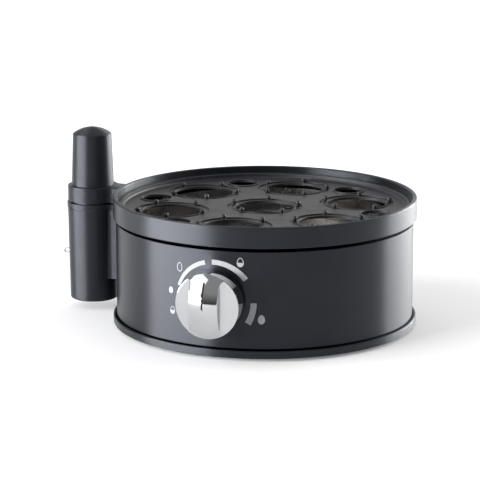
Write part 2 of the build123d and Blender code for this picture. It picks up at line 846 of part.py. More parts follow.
with BuildPart() as regulator_cover:
    with BuildSketch(dial_plane.offset(regulator_back - regulator_cover_sheet)):
        Rectangle(regulator_width, regulator_width)
    extrude(amount=regulator_cover_sheet)
    with BuildSketch(dial_plane.offset(regulator_back)):
        Circle(regulator_pin_radius)
    extrude(amount=rotor_back - rotor_play - regulator_back)
    with BuildSketch(dial_plane.offset(regulator_back - regulator_cover_sheet)):
        with Locations(*regulator_tab_places):
            Rectangle(tab_width, tab_thickness)
    extrude(amount=-tab_length)

with BuildPart() as regulator_nut:
    with BuildSketch(dial_plane.offset(-bracket_face_y)):
        RegularPolygon(bushing_nut_flats / 2, 6, major_radius=False)
        Circle(bushing_radius + thread_gap, mode=Mode.SUBTRACT)
    extrude(amount=bushing_nut_height)

with BuildPart() as regulator_shaft:
    with BuildSketch(dial_plane.offset(rotor_back)):
        Circle(rotor_radius)
    extrude(amount=rotor_thickness)
    with BuildSketch(dial_plane.offset(rotor_front)):
        Circle(shaft_radius)
    extrude(amount=shaft_end - rotor_front)
    with BuildSketch(dial_plane.offset(flat_start)):
        with Locations((0, shaft_flat + shaft_radius)):
            Rectangle(2 * shaft_radius, 2 * shaft_radius)
    extrude(amount=shaft_end - flat_start, mode=Mode.SUBTRACT)

# Chrome knob: skirt, domed face cut down on both sides to leave a grip bar, pointer groove
knob_section = Plane(origin=(0, 0, knob_z), x_dir=(0, -1, 0), z_dir=(-1, 0, 0))
knob_axis = Axis((0, 0, knob_z), (0, -1, 0))
dome_radius = (knob_radius**2 + knob_dome**2) / (2 * knob_dome)
dome_centre = knob_face + knob_dome - dome_radius
dome_turn = asin(knob_radius / dome_radius) / 2
dome_middle = (dome_centre + dome_radius * cos(dome_turn), dome_radius * sin(dome_turn))
pocket_radius = knob_radius - knob_wall
scoop_width = knob_radius - bar_width / 2 + 2 * scoop_radius
scoop_depth = knob_dome + scoop_sink + 2 * scoop_radius
scoop_place = (bar_width + scoop_width) / 2
scoop_front = knob_face - scoop_sink + scoop_depth / 2
groove_floor = dome_radius - pointer_depth
groove_end = sqrt(groove_floor**2 - pointer_length**2)

with BuildPart() as knob:
    with BuildSketch(knob_section):
        with BuildLine():
            Line((knob_back, 0), (knob_back, knob_radius - knob_draft))
            Line((knob_back, knob_radius - knob_draft), (knob_face, knob_radius))
            ThreePointArc((knob_face, knob_radius), dome_middle, (knob_face + knob_dome, 0))
            Line((knob_face + knob_dome, 0), (knob_back, 0))
        make_face()
    revolve(axis=knob_axis)
    fillet(knob.edges().filter_by(GeomType.CIRCLE).sort_by(Axis.Y)[-1], radius=knob_back_round)
    with BuildSketch(Plane.XY.offset(knob_z)):
        with Locations((scoop_place, -scoop_front), (-scoop_place, -scoop_front)):
            RectangleRounded(scoop_width, scoop_depth, scoop_radius)
    extrude(amount=knob_radius, both=True, mode=Mode.SUBTRACT)
    dome = knob.faces().sort_by(Axis.Y)[0]
    bar_edges = dome.edges().sort_by(Axis.Y)[:2] + dome.edges().filter_by(GeomType.BSPLINE)
    fillet(bar_edges, radius=scoop_edge_round)
    rim_edges = knob.edges().filter_by(GeomType.CIRCLE).sort_by(Axis.X)
    fillet((rim_edges[0], rim_edges[-1]), radius=knob_rim_round)
    with BuildSketch(knob_section):
        with BuildLine():
            Polyline(
                (dome_centre + groove_floor, 0),
                (dome_centre + dome_radius + overrun, 0),
                (dome_centre + dome_radius + overrun, pointer_length),
                (dome_centre + groove_end, pointer_length),
            )
            RadiusArc(
                (dome_centre + groove_end, pointer_length), (dome_centre + groove_floor, 0), groove_floor
            )
        make_face()
    extrude(amount=pointer_width / 2, both=True, mode=Mode.SUBTRACT)
    with BuildSketch(dial_plane.offset(knob_back)):
        Circle(pocket_radius)
    extrude(amount=core_front - knob_back, mode=Mode.SUBTRACT)

# Core inside the knob, with the flatted bore that takes the shaft
with BuildPart() as knob_core:
    with BuildSketch(dial_plane.offset(core_front - core_disc)):
        Circle(pocket_radius - thread_gap)
    extrude(amount=core_disc)
    with BuildSketch(dial_plane.offset(flat_start)):
        Circle(core_hub_radius)
    extrude(amount=core_front - flat_start)
    with BuildSketch(dial_plane.offset(flat_start)):
        Circle(shaft_radius + thread_gap)
        with Locations((0, shaft_flat + thread_gap + shaft_radius)):
            Rectangle(2 * (shaft_radius + thread_gap), 2 * shaft_radius, mode=Mode.SUBTRACT)
    extrude(amount=bore_end - flat_start, mode=Mode.SUBTRACT)

# Control board on its posts, its screws and the parts it carries
with BuildPart() as control_board:
    with BuildSketch(Plane.XY.offset(board_z)):
        with Locations((board_x, 0)):
            Rectangle(board_width, board_length)
        with Locations(*board_posts):
            Circle(board_screw_radius + fit_gap, mode=Mode.SUBTRACT)
    extrude(amount=board_sheet)

with BuildPart() as board_screws:
    with BuildSketch(Plane.XY.offset(board_top_z)):
        with Locations(*board_posts):
            Circle(board_screw_head_radius)
    extrude(amount=board_screw_head_height)
    with BuildSketch(Plane.XY.offset(board_top_z)):
        with Locations(*board_posts):
            Circle(board_screw_radius)
    extrude(amount=-(board_sheet + board_screw_bite - fit_gap))


def on_board(shares):
    return (board_x + shares[0] * board_width, shares[1] * board_length)


with BuildPart() as relay:
    with BuildSketch(Plane.XY.offset(board_top_z)):
        with Locations(on_board(relay_place_shares)):
            Rectangle(relay_size[0], relay_size[1])
    extrude(amount=relay_size[2])

with BuildPart() as buzzer:
    with BuildSketch(Plane.XY.offset(board_top_z)):
        with Locations(on_board(buzzer_place_shares)):
            Circle(buzzer_radius)
    extrude(amount=buzzer_height)
    with BuildSketch(Plane.XY.offset(board_top_z + buzzer_height)):
        with Locations(on_board(buzzer_place_shares)):
            Circle(buzzer_hole_radius)
    extrude(amount=-buzzer_hole_depth, mode=Mode.SUBTRACT)

with BuildPart() as capacitor:
    with BuildSketch(Plane.XY.offset(board_top_z)):
        with Locations(on_board(capacitor_place_shares)):
            Circle(capacitor_radius)
    extrude(amount=capacitor_height)
    fillet(capacitor.edges().group_by(Axis.Z)[-1], radius=capacitor_edge_round)

with BuildPart() as board_header:
    with BuildSketch(Plane.XY.offset(board_top_z)):
        with Locations(on_board(header_place_shares)):
            Rectangle(header_size[0], header_size[1])
    extrude(amount=header_size[2])

# Mains inlet gland, its nut, and the terminal block behind it
gland_section = Plane(origin=(0, 0, gland_z), x_dir=(0, 1, 0), z_dir=(1, 0, 0))
gland_axis = Axis((0, 0, gland_z), (0, 1, 0))

with BuildPart() as cord_gland:
    with BuildSketch(gland_section) as gland_profile:
        with BuildLine():
            Polyline(
                (gland_inner_end, gland_bore_radius),
                (gland_inner_end, gland_body_radius),
                (gland_seat, gland_body_radius),
                (gland_seat, gland_flange_radius),
                (gland_seat + gland_flange, gland_flange_radius),
                (gland_seat + gland_flange, gland_bore_radius),
                close=True,
            )
        make_face()
        outer_rim = gland_profile.vertices().sort_by_distance(
            (gland_seat + gland_flange, gland_flange_radius)
        )[0]
        chamfer(outer_rim, length=gland_flange_chamfer)
    revolve(axis=gland_axis)

with BuildPart() as gland_nut:
    with BuildSketch(inlet_plane.offset(shell_inner - gland_nut_gap - gland_nut_height)):
        RegularPolygon(gland_nut_flats / 2, 6, major_radius=False)
        Circle(gland_body_radius + thread_gap, mode=Mode.SUBTRACT)
    extrude(amount=gland_nut_height)

with BuildPart() as terminal_block:
    with BuildSketch(Plane.XY.offset(floor_z)):
        with Locations((0, block_y)):
            Rectangle(block_size[0], block_size[1])
    extrude(amount=block_size[2])
    with BuildSketch(Plane.XZ.offset(-(block_y + block_size[1] / 2))):
        with Locations(*[(k * block_pitch, floor_z + block_size[2] / 2) for k in (-1, 0, 1)]):
            Circle(block_bore_radius)
    extrude(amount=block_size[1], mode=Mode.SUBTRACT)

# Holster for the piercer: a tapered tube with a web to the shell and a grooved rim
rim_bottom_z = holster_top_z - holster_rim_height
holster_slope = (holster_top_radius - holster_bottom_radius) / (holster_top_z - holster_bottom_z)
eye_z = base_z + eye_height
eye_seat = holster_bottom_radius + holster_slope * (eye_z - holster_bottom_z)
eye_root = holster_x - eye_seat + eye_leg_depth
eye_plane = Plane(origin=(eye_root, 0, eye_z), x_dir=(0, -1, 0), z_dir=(-1, 0, 0))


def keyhole(radius, width):
    """Outline of the tube and its web as seen from above, blended where they meet."""
    with BuildSketch(mode=Mode.PRIVATE) as outline:
        with Locations((holster_x, 0)):
            Circle(radius)
        with Locations((holster_x / 2, 0)):
            Rectangle(holster_offset, width)
        meeting_x = holster_x + sqrt(radius**2 - (width / 2) ** 2)
        corners = outline.vertices().filter_by(lambda v: abs(v.X - meeting_x) < fit_gap)
        fillet(corners, radius=web_blend)
    return outline.sketch


with BuildPart() as piercer_holster:
    with BuildSketch(Plane.XY.offset(web_bottom_z)):
        add(keyhole(holster_bottom_radius, web_width))
    extrude(amount=rim_bottom_z - web_bottom_z)
    with BuildSketch(Plane.XZ) as tube_section:
        with BuildLine():
            Polyline(
                (holster_x, holster_bottom_z),
                (holster_x - holster_bottom_radius, holster_bottom_z),
                (holster_x - holster_top_radius, holster_top_z),
                (holster_x, holster_top_z),
                close=True,
            )
        make_face()
        foot_corner = tube_section.vertices().sort_by_distance(
            (holster_x - holster_bottom_radius, holster_bottom_z)
        )[0]
        fillet(foot_corner, radius=holster_edge_round)
    revolve(axis=Axis((holster_x, 0, 0), (0, 0, 1)))
    with BuildSketch(Plane.XY.offset(rim_bottom_z)):
        add(keyhole(holster_top_radius + holster_rim_proud, web_width + 2 * holster_rim_proud))
    extrude(amount=holster_rim_height)
    with BuildSketch(Plane.XY.offset(rim_bottom_z - holster_groove_height)):
        with Locations((holster_x / 2, 0)):
            Rectangle(2 * holster_offset, 2 * holster_offset)
        add(
            keyhole(holster_top_radius - holster_groove_depth, web_width - 2 * holster_groove_depth),
            mode=Mode.SUBTRACT,
        )
    extrude(amount=holster_groove_height, mode=Mode.SUBTRACT)
    with BuildSketch(Plane.XY):
        Circle(web_end)
    extrude(amount=holster_top_z + overrun, mode=Mode.SUBTRACT)
    with BuildSketch(Plane.XY.offset(holster_top_z)):
        Circle(arm_end)
    extrude(amount=shell_top_z - holster_top_z, mode=Mode.SUBTRACT)
    with BuildSketch(Plane.XZ):
        with BuildLine():
            Polyline(
                (holster_x, holster_bottom_z + holster_wall),
                (holster_x - holster_bottom_radius + holster_wall, holster_bottom_z + holster_wall),
                (holster_x - bore_top_radius, holster_top_z - ring_spigot_depth),
                (holster_x - bore_top_radius, holster_top_z),
                (holster_x, holster_top_z),
                close=True,
            )
        make_face()
    revolve(axis=Axis((holster_x, 0, 0), (0, 0, 1)), mode=Mode.SUBTRACT)
    with BuildSketch(Plane.XY.offset(web_bottom_z)):
        with Locations((ring_screw_x, 0)):
            Circle(ring_screw_head_radius + fit_gap)
    extrude(amount=holster_top_z - ring_screw_seat - web_bottom_z, mode=Mode.SUBTRACT)
    with BuildSketch(Plane.XY.offset(web_bottom_z)):
        with Locations((ring_screw_x, 0)):
            Circle(ring_screw_radius + fit_gap)
    extrude(amount=holster_top_z - web_bottom_z, mode=Mode.SUBTRACT)
    with BuildSketch(side_plane.offset(shell_inner)):
        with Locations(*web_screw_places):
            Circle(web_screw_radius + thread_gap)
    extrude(amount=shell_wall + web_screw_bite + fit_gap, mode=Mode.SUBTRACT)
    with BuildSketch(eye_plane):
        with Locations((0, eye_bend), (0, -eye_bend)):
            Circle(eye_wire_radius + thread_gap)
    extrude(amount=eye_leg_depth + overrun, mode=Mode.SUBTRACT)

# Wire eye set in the holster's wall
eye_start = eye_root - thread_gap
eye_shoulder = holster_x - eye_seat - eye_stand_off

with BuildPart() as holster_eye:
    with BuildLine() as eye_path:
        Line((eye_start, 0, eye_z + eye_bend), (eye_shoulder, 0, eye_z + eye_bend))
        ThreePointArc(
            (eye_shoulder, 0, eye_z + eye_bend),
            (eye_shoulder - eye_bend, 0, eye_z),
            (eye_shoulder, 0, eye_z - eye_bend),
        )
        Line((eye_shoulder, 0, eye_z - eye_bend), (eye_start, 0, eye_z - eye_bend))
    with BuildSketch(Plane(origin=(eye_start, 0, eye_z + eye_bend), z_dir=(-1, 0, 0))):
        Circle(eye_wire_radius)
    sweep(path=eye_path.wires()[0])

# Ring and arm above the holster, level with the collar
with BuildPart() as holder_ring:
    with BuildSketch(Plane.XY.offset(ring_bottom_z)):
        add(keyhole(ring_radius, web_width))
    extrude(amount=ring_height)
    fillet(holder_ring.faces().sort_by(Axis.Z)[-1].edges(), radius=ring_edge_round)
    with BuildSketch(Plane.XY.offset(ring_bottom_z)):
        Circle(arm_end)
    extrude(amount=ring_height, mode=Mode.SUBTRACT)
    with BuildSketch(Plane.XY.offset(holster_top_z - ring_spigot_depth)):
        with Locations((holster_x, 0)):
            Circle(ring_spigot_radius)
    extrude(amount=ring_spigot_depth + ring_gap)
    with BuildSketch(Plane.XY.offset(holster_top_z)):
        with Locations((ring_screw_x, 0)):
            Circle(ring_pad_radius)
    extrude(amount=ring_gap)
    with BuildSketch(Plane.XY.offset(holster_top_z - ring_spigot_depth)):
        with Locations((holster_x, 0)):
            Circle(ring_bore_radius)
    extrude(amount=ring_top_z - holster_top_z + ring_spigot_depth, mode=Mode.SUBTRACT)
    with BuildSketch(Plane.XY.offset(holster_top_z)):
        with Locations((ring_screw_x, 0)):
            Circle(ring_screw_radius + thread_gap)
    extrude(amount=ring_screw_bite + fit_gap, mode=Mode.SUBTRACT)

# Long screw that draws the ring down on the holster
with BuildPart() as ring_screw:
    with BuildSketch(Plane.XY.offset(holster_top_z - ring_screw_seat)):
        with Locations((ring_screw_x, 0)):
            Circle(ring_screw_head_radius)
    extrude(amount=-ring_screw_head_height)
    with BuildSketch(Plane.XY.offset(holster_top_z - ring_screw_seat)):
        with Locations((ring_screw_x, 0)):
            Circle(ring_screw_radius)
    extrude(amount=ring_screw_seat + ring_screw_bite)

# Screws from inside the shell into the holster's web
with BuildPart() as web_screws:
    with BuildSketch(side_plane.offset(shell_inner - web_screw_gap - web_screw_head_height)):
        with Locations(*web_screw_places):
            Circle(web_screw_head_radius)
    extrude(amount=web_screw_head_height)
    with BuildSketch(side_plane.offset(shell_inner - web_screw_gap)):
        with Locations(*web_screw_places):
            Circle(web_screw_radius)
    extrude(amount=web_screw_gap + shell_wall + web_screw_bite)

# Piercer grip: tapered, domed, with a plug that stands in the ring's bore
grip_base_z = ring_top_z + seat_gap
grip_top_z = grip_base_z + grip_height
plug_radius = ring_bore_radius - lift_gap / 2
plug_bottom_z = grip_base_z - grip_plug_length
grip_dome_radius = (grip_top_radius**2 + grip_dome**2) / (2 * grip_dome)
grip_dome_turn = asin(grip_top_radius / grip_dome_radius) / 2
grip_dome_middle = (
    grip_dome_radius * sin(grip_dome_turn),
    grip_top_z + grip_dome - grip_dome_radius * (1 - cos(grip_dome_turn)),
)
holster_stand = Plane(origin=(holster_x, 0, 0), x_dir=(1, 0, 0), z_dir=(0, -1, 0))
holster_axis = Axis((holster_x, 0, 0), (0, 0, 1))

with BuildPart() as piercer_grip:
    with BuildSketch(holster_stand) as grip_profile:
        with BuildLine():
            Polyline(
                (0, grip_top_z + grip_dome),
                (0, plug_bottom_z),
                (plug_radius, plug_bottom_z),
                (plug_radius, grip_base_z),
                (grip_base_radius, grip_base_z),
                (grip_top_radius, grip_top_z),
            )
            ThreePointArc((grip_top_radius, grip_top_z), grip_dome_middle, (0, grip_top_z + grip_dome))
        make_face()
        brow = grip_profile.vertices().sort_by_distance((grip_top_radius, grip_top_z))[0]
        fillet(brow, radius=grip_edge_round)
        plug_corner = grip_profile.vertices().sort_by_distance((plug_radius, plug_bottom_z))[0]
        fillet(plug_corner, radius=grip_plug_round)
    revolve(axis=holster_axis)
    with BuildSketch(Plane.XY.offset(plug_bottom_z)):
        with Locations((holster_x, 0)):
            Circle(carrier_stem_radius + thread_gap)
    extrude(amount=carrier_stem_length + fit_gap, mode=Mode.SUBTRACT)

# Carrier that holds the needle under the grip
carrier_tip_z = plug_bottom_z - carrier_disc - carrier_nose_length

with BuildPart() as needle_carrier:
    with BuildSketch(holster_stand):
        with BuildLine():
            Polyline(
                (0, carrier_tip_z),
                (carrier_nose_radius, carrier_tip_z),
                (carrier_disc_radius, plug_bottom_z - carrier_disc),
                (carrier_disc_radius, plug_bottom_z),
                (carrier_stem_radius, plug_bottom_z),
                (carrier_stem_radius, plug_bottom_z + carrier_stem_length),
                (0, plug_bottom_z + carrier_stem_length),
                close=True,
            )
        make_face()
    revolve(axis=holster_axis)
    with BuildSketch(Plane.XY.offset(carrier_tip_z)):
        with Locations((holster_x, 0)):
            Circle(needle_radius + thread_gap)
    extrude(amount=needle_hold, mode=Mode.SUBTRACT)

# Steel needle with a conical point
needle_top_z = carrier_tip_z + needle_hold
needle_bottom_z = needle_top_z - needle_length

with BuildPart() as piercer_needle:
    with BuildSketch(holster_stand):
        with BuildLine():
            Polyline(
                (0, needle_bottom_z),
                (needle_radius, needle_bottom_z + needle_tip),
                (needle_radius, needle_top_z),
                (0, needle_top_z),
                close=True,
            )
        make_face()
    revolve(axis=holster_axis)

# Leads from the terminal block to the regulator and to the thermostat
block_lead_y = block_y - block_size[1] / 2
block_lead_z = floor_z + block_size[2] / 2
regulator_tab_y = -(regulator_back - regulator_cover_sheet - tab_length)
regulator_tab_z = knob_z - regulator_tab_drop
thermostat_tab_z = spreader_under_z - thermostat_height - thermostat_tab_length
live_route = [
    (-block_pitch, block_lead_y, block_lead_z),
    (-block_pitch, block_lead_y - 2 * lead_bend, block_lead_z),
    (-regulator_tab_spread, regulator_tab_y + 2 * lead_bend, regulator_tab_z),
    (-regulator_tab_spread, regulator_tab_y, regulator_tab_z),
]
neutral_route = [
    (0, block_lead_y, block_lead_z),
    (0, block_lead_y - 2 * lead_bend, block_lead_z),
    (thermostat_tab_spread, 2 * lead_bend, block_lead_z),
    (thermostat_tab_spread, 0, thermostat_tab_z - lead_bend),
    (thermostat_tab_spread, 0, thermostat_tab_z),
]


def lead(route):
    """One insulated lead along straight runs joined by arcs."""
    with BuildPart() as wire:
        with BuildLine() as path:
            FilletPolyline(*route, radius=lead_bend)
        start_plane = Plane(origin=route[0], z_dir=Vector(*route[1]) - Vector(*route[0]))
        with BuildSketch(start_plane):
            Circle(lead_radius)
        sweep(path=path.wires()[0])
    return wire


live_lead = lead(live_route)
neutral_lead = lead(neutral_route)

pieces = {
    "base_pan": base_pan,
    "foot_ring": foot_ring,
    "base_screws": base_screws,
    "outer_shell": outer_shell,
    "top_collar": top_collar,
    "pan_seal": pan_seal,
    "water_pan": water_pan,
    "pan_nuts": pan_nuts,
    "egg_tray": egg_tray,
    "heat_spreader": heat_spreader,
    "heating_element": heating_element,
    "element_tabs": element_tabs,
    "thermostat": thermostat,
    "thermostat_strap": thermostat_strap,
    "strap_screws": strap_screws,
    "thermal_fuse": thermal_fuse,
    "fuse_holder": fuse_holder,
    "regulator_bracket": regulator_bracket,
    "bracket_screws": bracket_screws,
    "regulator_case": regulator_case,
    "regulator_cover": regulator_cover,
    "regulator_nut": regulator_nut,
    "regulator_shaft": regulator_shaft,
    "knob": knob,
    "knob_core": knob_core,
    "control_board": control_board,
    "board_screws": board_screws,
    "relay": relay,
    "buzzer": buzzer,
    "capacitor": capacitor,
    "board_header": board_header,
    "cord_gland": cord_gland,
    "gland_nut": gland_nut,
    "terminal_block": terminal_block,
    "piercer_holster": piercer_holster,
    "holster_eye": holster_eye,
    "holder_ring": holder_ring,
    "ring_screw": ring_screw,
    "web_screws": web_screws,
    "piercer_grip": piercer_grip,
    "needle_carrier": needle_carrier,
    "piercer_needle": piercer_needle,
    "live_lead": live_lead,
    "neutral_lead": neutral_lead,
}

os.makedirs("parts", exist_ok=True)
for name, piece in pieces.items():
    piece.part.label = name
    export_step(piece.part, f"parts/{name}.step")
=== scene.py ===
from math import cos, pi, radians, sin, sqrt

import bmesh
import bpy
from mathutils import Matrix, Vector


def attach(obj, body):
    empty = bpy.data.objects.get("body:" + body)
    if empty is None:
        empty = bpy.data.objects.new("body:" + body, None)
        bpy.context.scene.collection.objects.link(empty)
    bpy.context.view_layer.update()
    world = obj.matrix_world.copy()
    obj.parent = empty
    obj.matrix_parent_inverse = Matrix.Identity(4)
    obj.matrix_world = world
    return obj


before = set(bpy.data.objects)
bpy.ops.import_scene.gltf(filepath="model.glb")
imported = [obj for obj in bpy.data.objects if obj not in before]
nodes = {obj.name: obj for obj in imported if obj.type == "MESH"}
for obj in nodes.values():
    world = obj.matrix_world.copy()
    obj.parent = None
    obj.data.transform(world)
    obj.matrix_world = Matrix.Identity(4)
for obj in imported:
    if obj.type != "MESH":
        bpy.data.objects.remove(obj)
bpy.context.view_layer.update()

# Sizes of the drum and the knob, repeated from the part's source, in metres
SHELL_R = 0.085
KNOB_Z = 0.0322
DOME_R = 0.02535
DOME_Y = -0.07945

# Sockets of a colour mix node, by number
MIX_FACTOR, MIX_A, MIX_B, MIX_RESULT = 0, 6, 7, 2


# Node helpers

def node(tree, kind, values=None, **settings):
    """A node with its settings, and with its inputs set or linked."""
    made = tree.nodes.new(kind)
    for key, value in settings.items():
        setattr(made, key, value)
    for key, value in (values or {}).items():
        if isinstance(value, bpy.types.NodeSocket):
            tree.links.new(value, made.inputs[key])
        else:
            made.inputs[key].default_value = value
    return made


def calc(tree, operation, a, b=None, clamp=False):
    """The result of one math node."""
    values = {0: a} if b is None else {0: a, 1: b}
    return node(tree, "ShaderNodeMath", values, operation=operation, use_clamp=clamp).outputs[0]


def dot(tree, a, b):
    values = {0: a, 1: b}
    return node(tree, "ShaderNodeVectorMath", values, operation="DOT_PRODUCT").outputs["Value"]


def span(tree, value, low, high, to_low=0.0, to_high=1.0):
    """A value moved from one range to another and kept inside it."""
    values = {"Value": value, "From Min": low, "From Max": high, "To Min": to_low, "To Max": to_high}
    return node(tree, "ShaderNodeMapRange", values, clamp=True).outputs[0]


def mixed(tree, factor, a, b):
    values = {MIX_FACTOR: factor, MIX_A: a, MIX_B: b}
    return node(tree, "ShaderNodeMix", values, data_type="RGBA").outputs[MIX_RESULT]


def noise(tree, place, scale, **settings):
    values = {"Vector": place, "Scale": scale, **settings}
    return node(tree, "ShaderNodeTexNoise", values).outputs[0]


def object_place(tree):
    return node(tree, "ShaderNodeTexCoord").outputs["Object"]


def axis_distance(tree, parts):
    """Distance from the drum's upright axis."""
    squares = [calc(tree, "MULTIPLY", parts[axis], parts[axis]) for axis in ("X", "Y")]
    return calc(tree, "SQRT", calc(tree, "ADD", *squares))


def rgba(colour):
    return (*colour, 1.0)


# Shared shader effects, each built once as a node group

def new_group(name, inputs, outputs):
    """A node group with number sockets: its inputs have defaults."""
    group = bpy.data.node_groups.new(name, "ShaderNodeTree")
    for label, value in inputs.items():
        socket = group.interface.new_socket(name=label, in_out="INPUT", socket_type="NodeSocketFloat")
        socket.default_value = value
    for label in outputs:
        group.interface.new_socket(name=label, in_out="OUTPUT", socket_type="NodeSocketFloat")
    given = group.nodes.new("NodeGroupInput").outputs
    out = group.nodes.new("NodeGroupOutput").inputs
    return group, given, out


def make_grain():
    """Moulded or sprayed surface texture: a fine height and a slow tone."""
    group, given, out = new_group("fx_grain", {"Scale": 2500.0, "Tone Scale": 60.0}, ("Height", "Tone"))
    place = object_place(group)
    cell_share = 0.5
    fine = noise(group, place, given["Scale"], Detail=3.0)
    cells = node(group, "ShaderNodeTexVoronoi", {"Vector": place, "Scale": given["Scale"]})
    height = calc(group, "MULTIPLY", cells.outputs["Distance"], cell_share)
    group.links.new(calc(group, "ADD", height, fine), out["Height"])
    slow = noise(group, place, given["Tone Scale"], Detail=5.0)
    group.links.new(span(group, slow, low=0.3, high=0.7), out["Tone"])
    return group


def make_wear():
    """Mask that is bright along convex edges and broken up by noise."""
    group, given, out = new_group("fx_wear", {"Width": 0.0006, "Scale": 400.0}, ("Mask",))
    rounded = node(group, "ShaderNodeBevel", {"Radius": given["Width"]}, samples=4).outputs[0]
    normal = node(group, "ShaderNodeNewGeometry").outputs["Normal"]
    edge = span(group, dot(group, rounded, normal), low=0.995, high=0.85)
    broken = noise(group, object_place(group), given["Scale"], Detail=6.0)
    group.links.new(calc(group, "MULTIPLY", edge, span(group, broken, low=0.35, high=0.65)), out["Mask"])
    return group


def make_dust():
    """Fine settled dust on faces that look up, in thin uneven patches."""
    group, given, out = new_group("fx_dust", {"Scale": 120.0}, ("Mask",))
    place = object_place(group)
    speck_scale = 3000.0
    normal = node(group, "ShaderNodeNewGeometry").outputs["Normal"]
    up = node(group, "ShaderNodeSeparateXYZ", {0: normal}).outputs["Z"]
    facing = span(group, up, low=0.4, high=0.95)
    patches = span(group, noise(group, place, given["Scale"], Detail=8.0), low=0.42, high=0.75)
    specks = span(group, noise(group, place, speck_scale, Detail=2.0), low=0.5, high=0.8)
    mask = calc(group, "MULTIPLY", facing, calc(group, "MULTIPLY", patches, specks))
    group.links.new(mask, out["Mask"])
    return group


def make_smudge():
    """Slow cloudy variation of gloss, as hands and cleaning leave it."""
    group, given, out = new_group("fx_smudge", {"Scale": 45.0}, ("Value",))
    clouds = noise(group, object_place(group), given["Scale"], Detail=4.0, Distortion=1.2)
    group.links.new(span(group, clouds, low=0.35, high=0.68), out["Value"])
    return group


def make_turned():
    """Fine rings about the upright axis, as on spun or turned metal."""
    group, given, out = new_group("fx_turned", {"Rings": 2500.0}, ("Height", "Tone"))
    parts = node(group, "ShaderNodeSeparateXYZ", {0: object_place(group)}).outputs
    tone_scale = 90.0
    values = {"X": axis_distance(group, parts), "Z": parts["Z"]}
    line = node(group, "ShaderNodeCombineXYZ", values).outputs[0]
    group.links.new(noise(group, line, given["Rings"], Detail=3.0), out["Height"])
    slow = noise(group, line, tone_scale, Detail=4.0)
    group.links.new(span(group, slow, low=0.3, high=0.7), out["Tone"])
    return group


def make_streak():
    """Long fine streaks along X, as on rolled or drawn metal."""
    group, given, out = new_group("fx_streak", {"Scale": 900.0}, ("Height", "Tone"))
    place = object_place(group)
    tone_scale = 70.0
    drawn_out = (0.04, 1.0, 1.0)
    long = node(group, "ShaderNodeMapping", {"Vector": place, "Scale": drawn_out}).outputs[0]
    group.links.new(noise(group, long, given["Scale"], Detail=4.0), out["Height"])
    slow = noise(group, place, tone_scale, Detail=4.0)
    group.links.new(span(group, slow, low=0.3, high=0.7), out["Tone"])
    return group


def make_painted_seam_shade():
    """Mask of painted shade in a seam round the upright axis: between two heights and inside a radius."""
    group, given, out = new_group("fx_painted_seam_shade", {"Low": 0.0, "High": 0.01, "Reach": 0.085}, ("Mask",))
    parts = node(group, "ShaderNodeSeparateXYZ", {0: object_place(group)}).outputs
    inside = calc(group, "LESS_THAN", axis_distance(group, parts), given["Reach"])
    above = calc(group, "GREATER_THAN", parts["Z"], given["Low"])
    below = calc(group, "LESS_THAN", parts["Z"], given["High"])
    mask = calc(group, "MULTIPLY", inside, calc(group, "MULTIPLY", above, below))
    group.links.new(mask, out["Mask"])
    return group


GRAIN = make_grain()
WEAR = make_wear()
DUST = make_dust()
SMUDGE = make_smudge()
TURNED = make_turned()
STREAK = make_streak()
PAINTED_SEAM_SHADE = make_painted_seam_shade()

SMUDGE_SCALE = 40.0
DUST_TINT = (0.42, 0.41, 0.39)
DUST_ROUGH = 0.5
# Colour of the painted shade in the seams
PAINTED_SHADE_COLOUR = (0.0, 0.0, 0.0)


def effect(tree, group, **values):
    """The outputs of a shared effect, placed with its own values."""
    made = tree.nodes.new("ShaderNodeGroup")
    made.node_tree = group
    for key, value in values.items():
        made.inputs[key.replace("_", " ")].default_value = value
    return made.outputs


